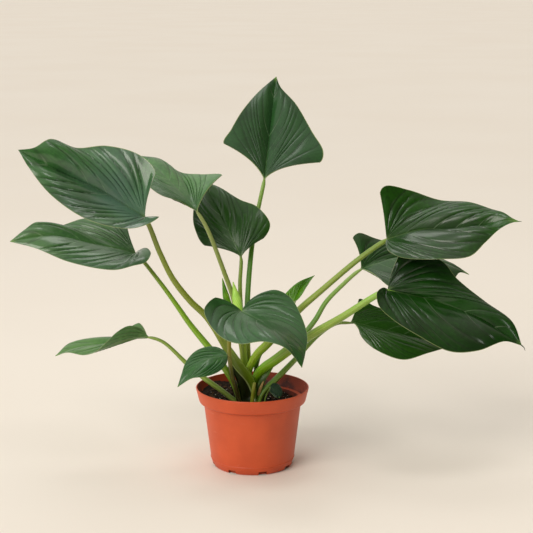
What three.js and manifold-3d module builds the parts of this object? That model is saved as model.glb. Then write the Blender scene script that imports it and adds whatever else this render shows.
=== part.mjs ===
// A homalomena growing in a plastic nursery pot. The plant is a short stem in potting soil. Each leaf is
// a sheathing stalk and a heart-shaped blade. Millimetres, +Z up, origin at the centre of the pot's base.
import * as THREE from 'three';
import { mergeVertices } from 'three/addons/utils/BufferGeometryUtils.js';
import Module from 'manifold-3d';

const wasm = await Module();
wasm.setup();

// Pot, a six inch nursery pot
const potHeight = 108;
const rimRadius = 76;
const collarHeight = 18;
const collarFootRadius = 72;
const bodyTopRadius = 65.6;
const bodyFootRadius = 56;
const baseRadius = 52;
const wall = 1.8;
const floorThickness = 3;
const drainHoles = 8;
const drainWidth = 11;
const drainHeight = 5;
const firstDrainAngle = -75;
const innerFootRadius = 53;
const potSides = 48;

// Soil, lower on the right than on the left and at the back
const soilHeight = 87;
const soilSlopeX = -0.12;
const soilSlopeY = 0.11;

// Stem
const stemPlace = [-3, 1];

// Leaves
const bladeThickness = 1.1;
const ribDepth = 1.3;
const fanShare = 0.38;
const fanFade = 0.342;
const fanEnd = 0.8;
const ribSpacing = 1.8;
const tipSpacing = 0.8;
const tipStart = 0.75;
const veinTurn = 0.31;
const veinReach = 0.525;
const bladeRows = 14;
const bladeColumns = 4;
const stalkSides = 8;
const spanSteps = 3;
const stalkFlatness = 0.78;
const stalkSetback = 1.4;
const channelDepth = 1.15;
const channelStart = 0.03;
const channelEnd = 0.45;
const gap = 0.4;

const curveSamples = 120;
const degree = Math.PI / 180;

const looks = {
  pot: { color: 0xc85f37, roughness: 0.55 },
  soil: { color: 0x2c211b, roughness: 0.95 },
  blade: { color: 0x2f5a2e, roughness: 0.4 },
  youngBlade: { color: 0x5f9a2a, roughness: 0.4 },
  stalk: { color: 0x6f8f2e, roughness: 0.45 },
  stem: { color: 0x5a5a2a, roughness: 0.7 },
  scale: { color: 0x8a6a3a, roughness: 0.8 },
};

// Every leaf: "at" is where its blade joins its stalk, in the pot's frame. The other blade points count
// from there: the tip, two points on the midrib, and each side's margin from the end of its basal lobe
// to the tip. "leftBase" and "rightBase" bend the edge between the stalk and that lobe. Left and right
// are those of the leaf, looking along it from its stalk. "arch" raises each half between rib and margin.
// The stalk runs up "route" to the blade, and "radii" are its half widths at even steps. Its channel faces
// away from the blade, or away from "back", and "channel" is its depth where it is not the usual one.
const leaves = [
  {
    name: 'young', look: 'youngBlade',
    at: [57, 50, 213], tip: [28, 20, 33], rib: [[8, 9, 15]],
    left: [[-14, 5, 6], [-5, 10, 17], [8, 14, 26]], leftBase: [-8, 2, 2],
    right: [[4, -6, 4], [11, -6, 13], [18, 4, 23]], rightBase: [1, -3, 2], arch: [0, 0],
    route: [[2, 6, 112], [9, 14, 146], [22, 26, 161], [44, 45, 194]],
    radii: [3.6, 3.2, 2.6, 2],
    columns: 3, rows: 8,
  },
  {
    name: 'centre',
    at: [-16, 60, 274], tip: [-54, 85, 91], rib: [[-15, 20, 28], [-35, 55, 61]],
    left: [[-50, 13, 13], [-64, 29, 34], [-67, 49, 52], [-62, 70, 75]], leftBase: [-14, 3, 10],
    right: [[31, 13, 23], [40, 21, 41], [23, 34, 63], [-2, 51, 71], [-33, 73, 86]], rightBase: [10, 2, 14],
    arch: [3, 3],
    route: [[-6, 6, 108], [-10, 8, 142], [-13, 18, 178], [-16, 36, 212], [-17, 48, 241]],
    radii: [4.4, 3.6, 3.3, 3, 2.7, 2.4],
  },
  {
    name: 'top',
    at: [16, 120, 372], tip: [17, 115, 134], rib: [[5, 45, 42], [11, 88, 88]],
    left: [[-57, 24, 47], [-47, 42, 65], [-33, 66, 87], [-10, 97, 112]], leftBase: [-12, 8, 28],
    right: [[78, 20, 21], [83, 32, 35], [68, 56, 60], [45, 88, 97], [23, 108, 120]], rightBase: [16, 5, 20],
    arch: [3, 3],
    route: [[-4, 10, 106], [-6, 17, 140], [-7, 27, 165], [-7, 52, 216], [-1, 90, 284], [5, 107, 320]],
    radii: [4.6, 4, 3.8, 3.6, 3.4, 3, 2.7],
  },
  {
    name: 'back_left',
    at: [-74, 30, 342], tip: [-82, 95, 62], rib: [[-27, 30, 25], [-56, 62, 48]],
    left: [[-21, -12, 15], [-46, -12, 23], [-71, 22, 36], [-86, 65, 51]], leftBase: [-8, -6, 5],
    right: [[33, 30, 44], [2, 62, 41], [-27, 85, 41], [-56, 98, 58]], rightBase: [8, 12, 27], arch: [5, 3],
    route: [[-8, 3, 102], [-12, 5, 136], [-14, 8, 158], [-19, 12, 185], [-25, 20, 222], [-38, 25, 260],
      [-61, 30, 319]],
    radii: [5, 4.6, 4.3, 4, 3.7, 3.4, 2.9],
  },
  {
    name: 'back_right',
    at: [149, 70, 255], tip: [152, 25, -13], rib: [[48, 20, 11], [105, 28, 7]],
    left: [[-11, 15, 40], [-3, 22, 46], [23, 40, 35], [72, 55, 19], [118, 44, 5], [141, 30, -6]],
    leftBase: [0, 6, 23],
    right: [[20, -27, -5], [39, -37, -18], [79, -28, -22], [126, 2, -16], [139, 19, -9]],
    rightBase: [9, -12, 1], arch: [4, 4],
    route: [[4, 4, 102], [24, 16, 133], [38, 22, 142], [52, 26, 153], [73, 34, 175], [86, 40, 191],
      [100, 48, 213], [120, 58, 232]],
    radii: [6, 5.6, 5, 4.6, 4.2, 3.8, 3.4, 3],
  },
  {
    name: 'upper_right',
    at: [176, -20, 313], tip: [170, -15, 26], rib: [[44, 2, 12], [108, -5, 14], [150, -12, 27]],
    left: [[-9, 8, 60], [-2, 14, 68], [32, 30, 60], [72, 30, 47], [110, 18, 46], [137, 4, 39], [151, -6, 36],
      [161, -12, 30]],
    leftBase: [-3, 6, 31],
    right: [[2, -34, -11], [18, -46, -16], [64, -54, -16], [104, -44, -14], [124, -32, 1], [141, -23, 15],
      [153, -19, 22], [162, -17, 25]],
    rightBase: [-5, -18, -7], arch: [4, 6],
    route: [[-10, 5, 108], [-5, 3, 132], [6, -1, 153], [20, -4, 168], [62, -12, 216], [89, -15, 241],
      [142, -20, 288]],
    radii: [7, 8, 7.6, 6, 5.2, 4.8, 4.5, 4.3],
    channel: 0.3,
  },
  {
    name: 'front',
    at: [-13, -70, 228], tip: [76, -80, -53], rib: [[24, -30, -6], [52, -60, -19]],
    left: [[25, 18, 20], [45, 22, 23], [63, 18, 14], [77, 0, -7], [84, -25, -27], [81, -52, -41]],
    leftBase: [6, 10, 12],
    right: [[-33, -8, 20], [-47, -22, 8], [-41, -36, -7], [-23, -54, -22], [-1, -68, -26], [29, -80, -20],
      [55, -84, -27]],
    rightBase: [-14, 2, 14], arch: [4, 4],
    route: [[-18, -24, 94], [-22, -25, 113], [-27, -27, 131], [-30, -37, 164], [-29, -52, 190],
      [-26, -62, 212]],
    radii: [3, 3, 2.9, 2.8, 2.7, 2.6],
  },
  {
    name: 'lower_right',
    at: [175, -60, 254], tip: [172, -20, -69], rib: [[56, 5, -14], [117, -5, -36]],
    left: [[15, 15, 42], [44, 30, 44], [75, 32, 30], [92, 22, 10], [128, 10, -18], [161, -6, -41]],
    leftBase: [4, 8, 22],
    right: [[-16, -30, 3], [-14, -40, -12], [2, -48, -27], [35, -56, -47], [76, -54, -68], [113, -42, -70],
      [149, -26, -62]],
    rightBase: [-8, -14, 10], arch: [4, 6],
    route: [[-2, 4, 106], [8, -1, 127], [17, -8, 138], [28, -14, 147], [51, -22, 166], [73, -32, 184],
      [115, -46, 213]],
    radii: [8, 9.4, 9, 7.2, 6.2, 5.5, 5],
    channel: 0.3,
  },
  {
    name: 'low_right',
    at: [133, 20, 192], tip: [142, 10, -35], rib: [[46, 5, -12], [101, 8, -27]],
    left: [[11, 12, 29], [34, 26, 16], [83, 35, -3], [123, 25, -20]], leftBase: [6, 5, 13],
    right: [[11, -16, -12], [21, -24, -24], [40, -31, -35], [69, -32, -44], [103, -20, -38]],
    rightBase: [9, -7, -1], arch: [4, 4],
    route: [[6, -15, 84], [13, -12, 102], [30, -6, 118], [54, 1, 141], [91, 14, 177], [113, 18, 190]],
    radii: [5.6, 6, 5, 4.2, 3.4, 2.8, 2.5],
    channel: 0.3,
  },
  {
    name: 'upper_left',
    at: [-137, -50, 347], tip: [-158, -10, 88], rib: [[-59, 4, 35], [-110, 0, 60]],
    left: [[21, -38, 7], [8, -44, -1], [-17, -50, -6], [-66, -51, 5], [-113, -36, 33], [-142, -20, 64]],
    leftBase: [9, -22, 5],
    right: [[14, 5, 56], [-7, 18, 78], [-50, 25, 89], [-88, 20, 87], [-119, 5, 100], [-139, -5, 90]],
    rightBase: [1, -2, 24], arch: [6, 4],
    route: [[-4, -16, 86], [-6, -16, 108], [-10, -17, 123], [-20, -17, 140], [-32, -19, 163],
      [-59, -26, 209], [-81, -32, 233], [-103, -38, 264], [-119, -42, 299]],
    radii: [11, 12, 9.4, 5.6, 4.8, 4.4, 4.1, 3.9, 3.6, 3.4, 3.2, 3],
    back: [-3, 10], stalkSides: 16,
  },
  {
    name: 'lower_left',
    at: [-155, 10, 289], tip: [-165, -10, 17], rib: [[-54, 0, 12], [-113, -5, 24]],
    left: [[23, -34, 6], [17, -42, -4], [0, -48, -8], [-24, -50, -13], [-83, -38, -5], [-129, -22, 10]],
    leftBase: [18, -15, 16],
    right: [[-12, 20, 30], [-40, 36, 42], [-74, 35, 40], [-111, 22, 31], [-132, 8, 40], [-147, 0, 31]],
    rightBase: [-8, 8, 16], arch: [5, 5],
    route: [[-17, -16, 86], [-20, -18, 106], [-28, -18, 125], [-46, -19, 152], [-83, -8, 196],
      [-100, -4, 220], [-123, 2, 251]],
    radii: [5, 6.4, 5.8, 4.8, 3.9, 3.4, 3],
    channel: 0.3,
  },
  {
    name: 'low_left',
    at: [-140, -10, 179], tip: [-122, -5, -25], rib: [[-25, 0, -2], [-52, 0, -8], [-90, 0, -14]],
    left: [[-8, -8, 14], [-22, -16, 19], [-36, -26, 14], [-51, -34, 1], [-64, -34, -11], [-81, -27, -18],
      [-105, -14, -18]],
    leftBase: [-1, -3, 8],
    right: [[-11, 12, 16], [-30, 26, 4], [-53, 32, -9], [-82, 28, -13], [-105, 14, -12]],
    rightBase: [-4, 4, 13], arch: [2, 2],
    route: [[-15, -17, 86], [-36, -19, 104], [-50, -18, 114], [-64, -17, 124], [-87, -14, 143],
      [-119, -10, 172]],
    radii: [4.6, 4.8, 4.4, 3.7, 3, 2.5],
    channel: 0.3,
  },
  {
    name: 'small',
    at: [-32, -60, 167], tip: [-63, -35, -33], rib: [[-22, -12, -1], [-44, -26, -13]],
    left: [[-1, -10, -9], [-12, -26, -16], [-29, -37, -19], [-44, -40, -20]], leftBase: [1, -4, -4],
    right: [[-7, 6, 5], [-22, 10, 9], [-40, 5, 5], [-53, -8, -6], [-59, -26, -21]], rightBase: [-1, 2, 4],
    arch: [2, 2],
    route: [[-14, -30, 92], [-20, -32, 106], [-26, -38, 130], [-29, -52, 156]],
    radii: [2, 2, 2, 1.9],
    columns: 3, rows: 10,
  },
  {
    name: 'seedling',
    at: [24, -22, 113], tip: [12, -8, -13], rib: [[6, -3, -4]],
    left: [[3, 7, 3], [10, 9, 2], [15, 4, -3], [16, -3, -9]], leftBase: [0, 3, 1],
    right: [[-1, -6, -3], [3, -9, -8], [8, -10, -12]], rightBase: [0, -3, -1], arch: [1, 1],
    route: [[15, -17, 84], [18, -20, 98]], radii: [1.7, 1.3, 0.9],
    columns: 2, rows: 6,
  },
];

// Young leaves still rolled up: a spindle from the stem to the point, with its half widths along it.
const rolledLeaves = [
  {
    name: 'rolled_leaf_left', outward: [-41, 45],
    route: [[-3, 6, 112], [-10, 20, 150], [-22, 34, 188], [-34, 42, 215], [-41, 45, 247]],
    radii: [2.6, 2.4, 2.2, 2.6, 5, 4.6, 0.5],
  },
  {
    name: 'rolled_leaf_front', outward: [-26, -22],
    route: [[-4, 6, 112], [-11, 14, 150], [-15, 14, 185], [-18, 15, 208], [-26, 22, 247]],
    radii: [3, 2.8, 2.6, 3.2, 6, 6, 0.5],
  },
];

// What earlier leaves left: the cut foot of a stalk, a green bract and a dry scale
const scraps = [
  {
    name: 'cut_stalk', look: 'stalk', outward: [0, -1],
    route: [[-1, -25, 78], [0, -26, 98], [3, -26, 120]], radii: [2.6, 2.5, 2.3],
  },
  {
    name: 'bract', look: 'stalk', outward: [1, 5], flatness: 0.45,
    route: [[8, -9, 88], [10, -10, 106], [14, -10, 120], [22, -8, 130], [29, -4, 138]],
    radii: [4.4, 4.6, 4.4, 3, 0.6],
  },
  {
    name: 'dry_scale', look: 'scale', outward: [0, 1], flatness: 0.4,
    route: [[8, -16, 100], [11, -18, 110], [15, -18, 120]], radii: [1.6, 2.2, 1.8, 0.6],
  },
];

const vector = ([x, y, z]) => new THREE.Vector3(x, y, z);
const clamp = (value) => Math.min(1, Math.max(0, value));
const smooth = (value) => clamp(value) ** 2 * (3 - 2 * clamp(value));

// The value at a share of the way along an evenly spaced list
function valueAt(list, share) {
  const place = clamp(share) * (list.length - 1);
  const step = Math.min(list.length - 2, Math.floor(place));
  return list[step] + (list[step + 1] - list[step]) * (place - step);
}

// A function that gives the point at a share of a smooth curve's length, past its first "skip" spans
function alongCurve(points, skip = 0) {
  const curve = new THREE.CatmullRomCurve3(points, false, 'centripetal');
  const start = skip / (points.length - 1);
  const samples = [];
  const lengths = [0];
  for (let i = 0; i <= curveSamples; i += 1) {
    samples.push(curve.getPoint(start + ((1 - start) * i) / curveSamples));
    if (i > 0) lengths.push(lengths[i - 1] + samples[i].distanceTo(samples[i - 1]));
  }
  return (share) => {
    const length = clamp(share) * lengths[curveSamples];
    let i = 1;
    while (i < curveSamples && lengths[i] < length) i += 1;
    const step = (length - lengths[i - 1]) / (lengths[i] - lengths[i - 1]);
    return samples[i - 1].clone().lerp(samples[i], step);
  };
}

function bezier(a, b, c, share) {
  const rest = 1 - share;
  return a.clone().multiplyScalar(rest * rest)
    .addScaledVector(b, 2 * share * rest)
    .addScaledVector(c, share * share);
}

// The share of the midrib's length at which the vein leaves it that ends at a share of the margin's length.
// The veins sweep forward, and less so in the narrow tip.
function ribPlace(along) {
  const past = clamp((along - fanShare) / (1 - fanShare));
  const swept = past ** ribSpacing;
  const level = 1 - tipSpacing * (1 - past);
  return swept + (level - swept) * smooth((past - tipStart) / (1 - tipStart));
}

// One vein of a blade: where it leaves the midrib, where it ends on the margin, the directions towards its
// end, square to that in the blade and upwards, and the angle between it and the midrib
function veinFrame(rib, side, along) {
  const ribShare = ribPlace(along);
  const root = rib(ribShare);
  const edge = side.margin(along);
  const reach = edge.clone().sub(root);
  const span = reach.length();
  reach.normalize();
  const ahead = rib(ribShare + 0.02).sub(rib(ribShare - 0.02)).normalize();
  const splay = ahead.angleTo(reach);
  const forward = ahead.addScaledVector(reach, -ahead.dot(reach)).normalize();
  const up = forward.clone().cross(reach).multiplyScalar(side.sign);
  return { root, edge, reach, span, splay, forward, up };
}

// The blade's middle surface: a point for a place along the blade and a place across it, where -1 is the
// left margin, 0 the midrib and 1 the right margin. Lines across it follow the veins: those of the base
// fan out from the stalk, and the others leave the midrib and sweep forward to the margin.
function bladeSurface(leaf) {
  const rib = alongCurve([[0, 0, 0], ...leaf.rib, leaf.tip].map(vector));
  const sides = [
    { base: vector(leaf.leftBase), points: leaf.left, sign: 1, arch: leaf.arch[0] },
    { base: vector(leaf.rightBase), points: leaf.right, sign: -1, arch: leaf.arch[1] },
  ];
  for (const side of sides) {
    side.margin = alongCurve([side.base, ...side.points.map(vector), vector(leaf.tip)], 1);
    const { reach, span, splay, forward, up } = veinFrame(rib, side, 0);
    const [out, ahead, rise] = [reach, forward, up].map((direction) => side.base.dot(direction));
    side.turn = Math.atan2(ahead, out) / splay;
    side.reach = Math.hypot(ahead, out) / span;
    side.rise = rise / span;
  }
  return (along, across) => {
    const side = sides[across > 0 ? 1 : 0];
    const { root, edge, reach, span, splay, forward, up } = veinFrame(rib, side, along);
    const lobes = clamp(1 - along / fanShare) ** 2;
    const fan = 1 - smooth((along - fanFade) / (fanEnd - fanFade));
    const turn = side.turn * splay * fan - veinTurn * (1 - fan);
    const length = (side.reach * lobes + veinReach * (1 - lobes)) * span;
    const rise = side.rise * span * lobes + 2 * side.arch * Math.min(1, span / 50) * (1 - lobes);
    const bend = root.clone()
      .addScaledVector(reach, length * Math.cos(turn))
      .addScaledVector(forward, length * Math.sin(turn))
      .addScaledVector(up, rise);
    return bezier(root, bend, edge, Math.abs(across)).add(vector(leaf.at));
  };
}

// Moves the vertices of one of three's own shapes
function moved(geometry, place) {
  geometry.deleteAttribute('normal');
  geometry.deleteAttribute('uv');
  const position = geometry.attributes.position;
  const point = new THREE.Vector3();
  for (let i = 0; i < position.count; i += 1) {
    place(point.fromBufferAttribute(position, i));
    position.setXYZ(i, point.x, point.y, point.z);
  }
  return geometry;
}

// Joins the vertices that meet and drops the faces that this leaves empty
function joined(geometry) {
  const merged = mergeVertices(geometry, 1e-3);
  const corners = merged.index.array;
  const kept = [];
  for (let i = 0; i < corners.length; i += 3) {
    const [a, b, c] = corners.slice(i, i + 3);
    if (a !== b && b !== c && c !== a) kept.push(a, b, c);
  }
  merged.setIndex(kept);
  return merged;
}

// The upward direction at each vertex of a blade's middle surface, row by row from the tip
function bladeNormals(surface, rows, columns) {
  const sheet = new THREE.PlaneGeometry(2, 1, 2 * columns, rows);
  moved(sheet, (p) => p.copy(surface(p.y + 0.5, p.x)));
  const merged = mergeVertices(sheet, 1e-3);
  merged.computeVertexNormals();
  const upward = merged.attributes.normal;
  const normals = [];
  sheet.index.array.forEach((corner, i) => {
    normals[corner] = new THREE.Vector3().fromBufferAttribute(upward, merged.index.getX(i));
  });
  return normals;
}

// The blade as a thin solid, thicker under the midrib. "extra" fattens it, to cut its neighbours back.
function bladeGeometry(leaf, extra = 0) {
  const rows = leaf.rows ?? bladeRows;
  const columns = leaf.columns ?? bladeColumns;
  const surface = bladeSurface(leaf);
  const normals = bladeNormals(surface, rows, columns);
  const slab = new THREE.BoxGeometry(2, 2, 1, 2 * columns, 1, rows);
  moved(slab, (p) => {
    const row = Math.round((0.5 + p.z) * rows);
    const column = Math.round((1 + p.x) * columns);
    const along = 1 - row / rows;
    const beneathRib = p.y < 0 && column === columns;
    const keel = beneathRib ? ribDepth * (1 - ribPlace(along)) : 0;
    const height = p.y * (bladeThickness / 2 + extra + keel);
    p.copy(surface(along, p.x)).addScaledVector(normals[row * (2 * columns + 1) + column], height);
  });
  return joined(slab);
}

// A stalk or a rolled leaf: a tube along a route with a half width at each even step. Towards its foot it
// opens into a channel that faces the plant's middle, as a sheath does.
function tubeGeometry(tubular, extra = 0) {
  const { route, radii, outward, flatness = stalkFlatness, channel = 0, sides = stalkSides } = tubular;
  const centre = alongCurve(route.map(vector));
  const across = vector([outward[0], outward[1], 0]).normalize().cross(new THREE.Vector3(0, 0, 1));
  const tube = new THREE.CylinderGeometry(1, 1, 1, sides, spanSteps * (route.length - 1));
  moved(tube, (p) => {
    const { x, z } = p;
    const share = p.y + 0.5;
    const forward = centre(share + 0.01).sub(centre(share - 0.01)).normalize();
    const sideways = across.clone().addScaledVector(forward, -across.dot(forward)).normalize();
    const inward = sideways.clone().cross(forward);
    const opening = smooth(share / channelStart) * (1 - smooth(share / channelEnd));
    const hollow = channel * opening * (1 - x ** 2);
    const depth = z > 0 ? z * (1 - hollow) : z;
    const halfWidth = valueAt(radii, share);
    p.copy(centre(share))
      .addScaledVector(forward, extra * ((share > 0.999) - (share < 0.001)))
      .addScaledVector(sideways, x * (halfWidth + extra))
      .addScaledVector(inward, depth * flatness * halfWidth + z * extra);
  });
  return joined(tube);
}

// A leaf's stalk, which stops just short of the blade
function leafStalk(leaf) {
  const last = vector(leaf.route.at(-1));
  const top = vector(leaf.at);
  top.addScaledVector(last.sub(top).normalize(), stalkSetback);
  return {
    route: [...leaf.route, top.toArray()],
    radii: leaf.radii,
    outward: leaf.back ?? leaf.at,
    channel: leaf.channel ?? channelDepth,
    sides: leaf.stalkSides,
  };
}

// A turned solid from a closed profile of [radius, height] points
function turned(profile, segments) {
  const points = profile.map(([radius, height]) => new THREE.Vector2(radius, height));
  const lathe = new THREE.LatheGeometry(points, segments);
  lathe.rotateX(Math.PI / 2);
  return joined(moved(lathe, () => {}));
}

function solid(geometry) {
  const mesh = new wasm.Mesh({
    numProp: 3,
    vertProperties: new Float32Array(geometry.attributes.position.array),
    triVerts: new Uint32Array(geometry.index.array),
  });
  return new wasm.Manifold(mesh);
}

function geometryOf(body) {
  const mesh = body.getMesh();
  const geometry = new THREE.BufferGeometry();
  geometry.setAttribute('position', new THREE.BufferAttribute(mesh.vertProperties, 3));
  geometry.setIndex(new THREE.BufferAttribute(mesh.triVerts, 1));
  return geometry;
}

// Cuts the other bodies off a body and keeps the largest piece that is left
function cutBack(body, others) {
  const rest = others.reduce((left, other) => left.subtract(other), body);
  return rest.decompose().reduce((best, piece) => (piece.volume() > best.volume() ? piece : best));
}

function potSolid() {
  const collarFoot = potHeight - collarHeight;
  const innerCollarFoot = collarFootRadius - wall;
  const innerBodyTop = bodyTopRadius - wall;
  const outside = [
    [0, 0], [baseRadius, 0], [baseRadius + 1.6, 1.8], [bodyFootRadius, 9], [bodyFootRadius + 0.2, 10.6],
    [bodyFootRadius + 0.9, 11.2], [bodyFootRadius + 0.4, 12], [bodyTopRadius, collarFoot - 3.5],
    [collarFootRadius - 0.8, collarFoot - 0.8], [collarFootRadius, collarFoot + 0.6],
    [rimRadius, potHeight - 1], [rimRadius - 0.6, potHeight],
  ];
  const inside = [
    [rimRadius - wall + 0.4, potHeight], [rimRadius - wall, potHeight - 1],
    [innerCollarFoot, collarFoot + 1.6], [innerBodyTop + 0.6, collarFoot + 0.6],
    [innerBodyTop, collarFoot - 1], [innerFootRadius, floorThickness], [0, floorThickness],
  ];
  let pot = solid(turned([...outside, ...inside], potSides));
  for (let i = 0; i < drainHoles; i += 1) {
    const notch = new THREE.BoxGeometry(14, drainWidth, 2 * drainHeight);
    notch.translate(baseRadius + 3, 0, 0);
    notch.rotateZ((firstDrainAngle + (360 / drainHoles) * i) * degree);
    pot = pot.subtract(solid(joined(moved(notch, () => {}))));
  }
  return pot;
}

// The height of the soil's uneven top
function soilTop(x, y) {
  const lumps = 1.6 * Math.sin(x / 9 + 1) * Math.cos(y / 8) + 0.9 * Math.sin(x / 4 - y / 5);
  const mound = 5 * Math.exp(-(x * x + y * y) / 500);
  return soilHeight + soilSlopeX * x + soilSlopeY * y + lumps + mound;
}

function soilSolid() {
  const collarFoot = potHeight - collarHeight;
  const fill = turned([
    [0, floorThickness + gap], [innerFootRadius - 2 * gap, floorThickness + gap],
    [bodyTopRadius - wall - gap, collarFoot - 1], [bodyTopRadius - wall, collarFoot + 1],
    [collarFootRadius - wall - 2 * gap, collarFoot + 2.2], [rimRadius - wall - 2.5, potHeight - 4],
    [0, potHeight - 4],
  ], potSides);
  const size = 2 * rimRadius;
  const ground = new THREE.BoxGeometry(size, size, 2, 18, 18, 1);
  moved(ground, (p) => {
    p.z = p.z > 0 ? soilTop(p.x, p.y) : 0;
  });
  return solid(fill).intersect(solid(joined(ground)));
}

function stemSolid(extra = 0) {
  const profile = [[0, 70], [8, 72], [10, 82], [10, 94], [8, 102], [4, 109], [0, 112]];
  const stem = turned(profile.map(([radius, height], i) => [
    radius > 0 ? radius + extra : 0,
    height + (i === 0 ? -extra : 0) + (i === profile.length - 1 ? extra : 0),
  ]), 20);
  stem.translate(stemPlace[0], stemPlace[1], 0);
  return solid(stem);
}

// The fattened blade where it is and a little way down its stalk, so that the stalk ends clear of it
function bladeCutters(leaf) {
  if (!leaf) return [];
  const down = vector(leaf.route.at(-1)).sub(vector(leaf.at)).normalize();
  return [0, 1, 2].map((step) => {
    const shift = down.clone().multiplyScalar(step * gap);
    return solid(bladeGeometry(leaf, gap).translate(shift.x, shift.y, shift.z));
  });
}

const group = new THREE.Group();

function addPiece(name, body, look) {
  const { color, roughness } = looks[look];
  const material = new THREE.MeshStandardMaterial({ color, roughness, metalness: 0 });
  const mesh = new THREE.Mesh(geometryOf(body), material);
  mesh.name = name;
  group.add(mesh);
}

// The stem first, then each stalk cut back from the stem and from the stalks inside it
const shoots = [
  ...rolledLeaves.map((leaf) => ({ name: leaf.name, look: 'youngBlade', tube: leaf })),
  ...leaves.map((leaf) => ({ name: `stalk_${leaf.name}`, look: 'stalk', tube: leafStalk(leaf), leaf })),
  ...scraps.map((scrap) => ({ name: scrap.name, look: scrap.look, tube: scrap })),
];
const fattened = [stemSolid(gap)];
addPiece('stem', stemSolid(), 'stem');
for (const shoot of shoots) {
  const stalk = solid(tubeGeometry(shoot.tube));
  addPiece(shoot.name, cutBack(stalk, [...fattened, ...bladeCutters(shoot.leaf)]), shoot.look);
  fattened.push(solid(tubeGeometry(shoot.tube, gap)));
}
for (const leaf of leaves) {
  addPiece(`blade_${leaf.name}`, solid(bladeGeometry(leaf)), leaf.look ?? 'blade');
}
addPiece('soil', cutBack(soilSolid(), fattened), 'soil');
addPiece('pot', potSolid(), 'pot');

export default group;
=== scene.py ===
import math

import bmesh
import bpy
import numpy as np
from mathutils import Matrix, Vector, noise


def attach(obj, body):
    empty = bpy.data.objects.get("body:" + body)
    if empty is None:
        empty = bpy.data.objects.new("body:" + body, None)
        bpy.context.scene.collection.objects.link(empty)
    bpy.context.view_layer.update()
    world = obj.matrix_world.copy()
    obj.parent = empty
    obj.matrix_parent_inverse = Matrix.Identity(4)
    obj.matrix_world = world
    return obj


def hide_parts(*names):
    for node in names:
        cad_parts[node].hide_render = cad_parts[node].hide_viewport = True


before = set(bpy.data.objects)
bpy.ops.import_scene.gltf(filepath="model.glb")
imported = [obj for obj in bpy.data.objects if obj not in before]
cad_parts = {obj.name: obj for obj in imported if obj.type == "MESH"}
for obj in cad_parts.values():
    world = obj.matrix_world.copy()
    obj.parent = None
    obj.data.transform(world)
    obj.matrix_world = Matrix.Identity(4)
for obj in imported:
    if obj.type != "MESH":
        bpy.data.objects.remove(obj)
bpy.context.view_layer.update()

mm = 0.001
print("frame loaded:", len(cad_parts), "nodes")


def paint(code):
    # a colour's six hex digits as the linear values that a socket takes
    parts = [int(code[i:i + 2], 16) / 255 for i in (0, 2, 4)]
    return (*[p / 12.92 if p <= 0.04045 else ((p + 0.055) / 1.055) ** 2.4 for p in parts], 1.0)


def plug(tree, socket, value):
    # joins a wire to a socket, or sets it to a number, a vector or a colour's hex digits
    if isinstance(value, Wire):
        tree.links.new(value.socket, socket)
    else:
        socket.default_value = paint(value) if isinstance(value, str) else value


class Wire:
    # an output socket of a node tree, with sums written as plain arithmetic
    def __init__(self, tree, socket=None):
        self.tree = tree
        self.socket = socket

    def add(self, kind, settings=None, inputs=None, output=0):
        node = self.tree.nodes.new(kind)
        for key, value in (settings or {}).items():
            setattr(node, key, value)
        for key, value in (inputs or {}).items():
            plug(self.tree, node.inputs[key], value)
        return Wire(self.tree, node.outputs[output])

    def reckon(self, operation, *values):
        isVector = any(isinstance(v, Wire) and v.socket.type == "VECTOR" for v in values)
        kind = "ShaderNodeVectorMath" if isVector else "ShaderNodeMath"
        if isVector:
            values = [(v, v, v) if isinstance(v, (int, float)) else v for v in values]
        return self.add(kind, {"operation": operation}, dict(enumerate(values)))

    def __add__(self, other):
        return self.reckon("ADD", self, other)

    def __radd__(self, other):
        return self.reckon("ADD", other, self)

    def __sub__(self, other):
        return self.reckon("SUBTRACT", self, other)

    def __rsub__(self, other):
        return self.reckon("SUBTRACT", other, self)

    def __mul__(self, other):
        return self.reckon("MULTIPLY", self, other)

    def __rmul__(self, other):
        return self.reckon("MULTIPLY", other, self)

    def __truediv__(self, other):
        return self.reckon("DIVIDE", self, other)

    def __rtruediv__(self, other):
        return self.reckon("DIVIDE", other, self)

    def __abs__(self):
        return self.reckon("ABSOLUTE", self)

    def dot(self, other):
        return self.add("ShaderNodeVectorMath", {"operation": "DOT_PRODUCT"}, {0: self, 1: other}, "Value")

    def ramp(self, low, high):
        # 0 below low and 1 above high, with a soft change between; 1 to 0 where low is the greater
        return self.add("ShaderNodeMapRange", {"interpolation_type": "SMOOTHSTEP"}, {
            0: self, 1: low, 2: high})

    def blend(self, first, second):
        # the first colour where this wire is 0, the second where it is 1
        return self.add("ShaderNodeMix", {"data_type": "RGBA"}, {0: self, 6: first, 7: second}, 2)

    def part(self, index):
        return self.add("ShaderNodeSeparateXYZ", inputs={0: self}, output=index)

    def stripes(self, count):
        # 1 on each of a number of evenly spaced lines, falling to 0 half way between them
        return abs((self * count).reckon("FRACT", self * count) - 0.5) * 2

    def clouds(self, scale, detail=2.0, roughness=0.5):
        return self.add("ShaderNodeTexNoise", inputs={
            "Vector": self, "Scale": scale, "Detail": detail, "Roughness": roughness})


def startMaterial(name, constants):
    # a new material, with wires of each point's place in the object and of its pattern coordinates
    made = bpy.data.materials.new(name)
    made.use_nodes = True
    tree = made.node_tree
    for key, value in constants.items():
        tree.nodes["Principled BSDF"].inputs[key].default_value = value
    coordinates = tree.nodes.new("ShaderNodeTexCoord").outputs
    return made, Wire(tree, coordinates["Object"]), Wire(tree, coordinates["UV"])


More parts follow.
